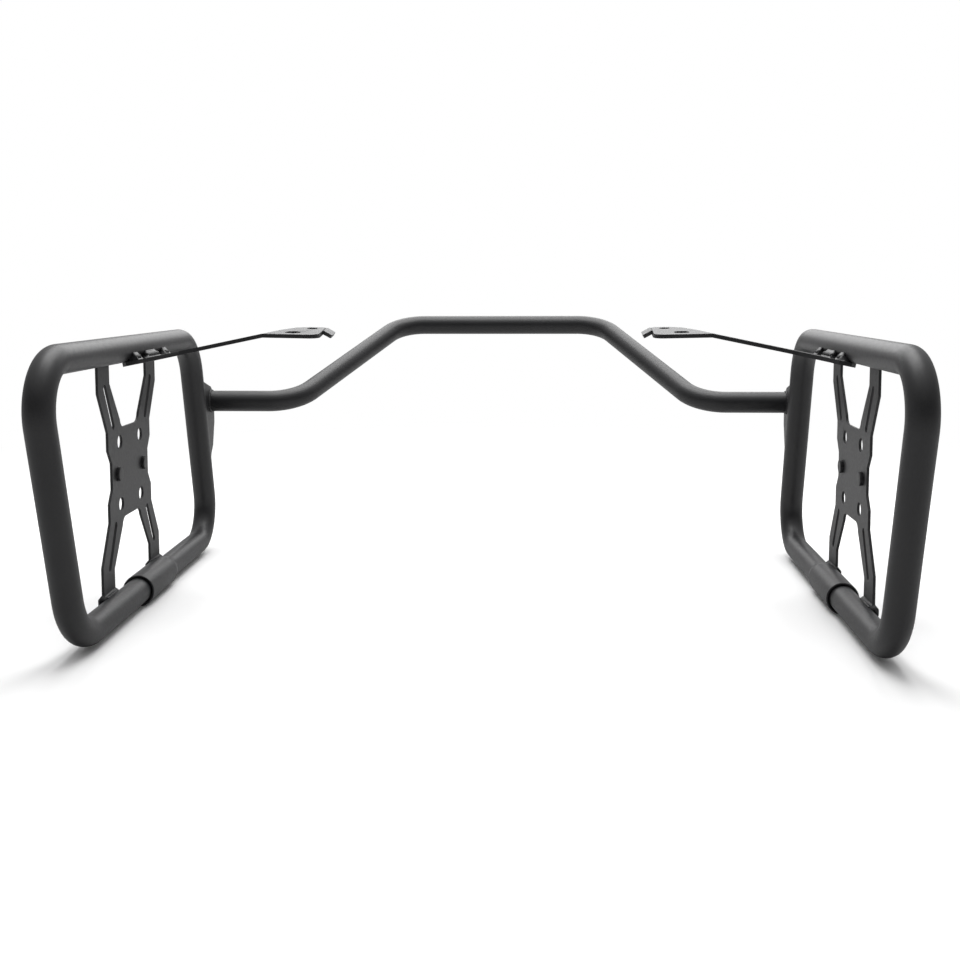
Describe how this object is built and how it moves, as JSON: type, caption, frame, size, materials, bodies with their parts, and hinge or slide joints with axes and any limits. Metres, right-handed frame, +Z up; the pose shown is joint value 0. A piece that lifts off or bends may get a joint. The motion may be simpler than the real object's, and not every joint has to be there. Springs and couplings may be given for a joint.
{
  "type": "saddlebag stay",
  "caption": "Pair of bent tube hoops with bag plates and mounting arms, joined behind the tail by a bent crossbar, to hold soft saddlebags off a wheel.",
  "frame": {"origin": "on the floor, at the middle of the whole stay's width and length", "axes": "+Z up, +Y to the back where the crossbar is, X across; the stay is a mirror image about X = 0"},
  "size_m": [0.5736, 0.615, 0.2174],
  "materials": {
    "powder_coat": "matte fine texture"
  },
  "bodies": {
    "root": {"hoop_left": "powder_coat", "hoop_right": "powder_coat", "bag_plate_left": "powder_coat", "bag_plate_right": "powder_coat", "weld_nuts_left": "powder_coat", "weld_nuts_right": "powder_coat", "arm_left": "powder_coat", "arm_right": "powder_coat", "bracket_left": "powder_coat", "bracket_right": "powder_coat", "crossbar": "powder_coat", "plate_welds_left": "powder_coat", "plate_welds_right": "powder_coat", "arm_weld_left": "powder_coat", "arm_weld_right": "powder_coat", "bracket_welds_left": "powder_coat", "bracket_welds_right": "powder_coat", "crossbar_weld_left": "powder_coat", "crossbar_weld_right": "powder_coat"}
  },
  "joints": []
}
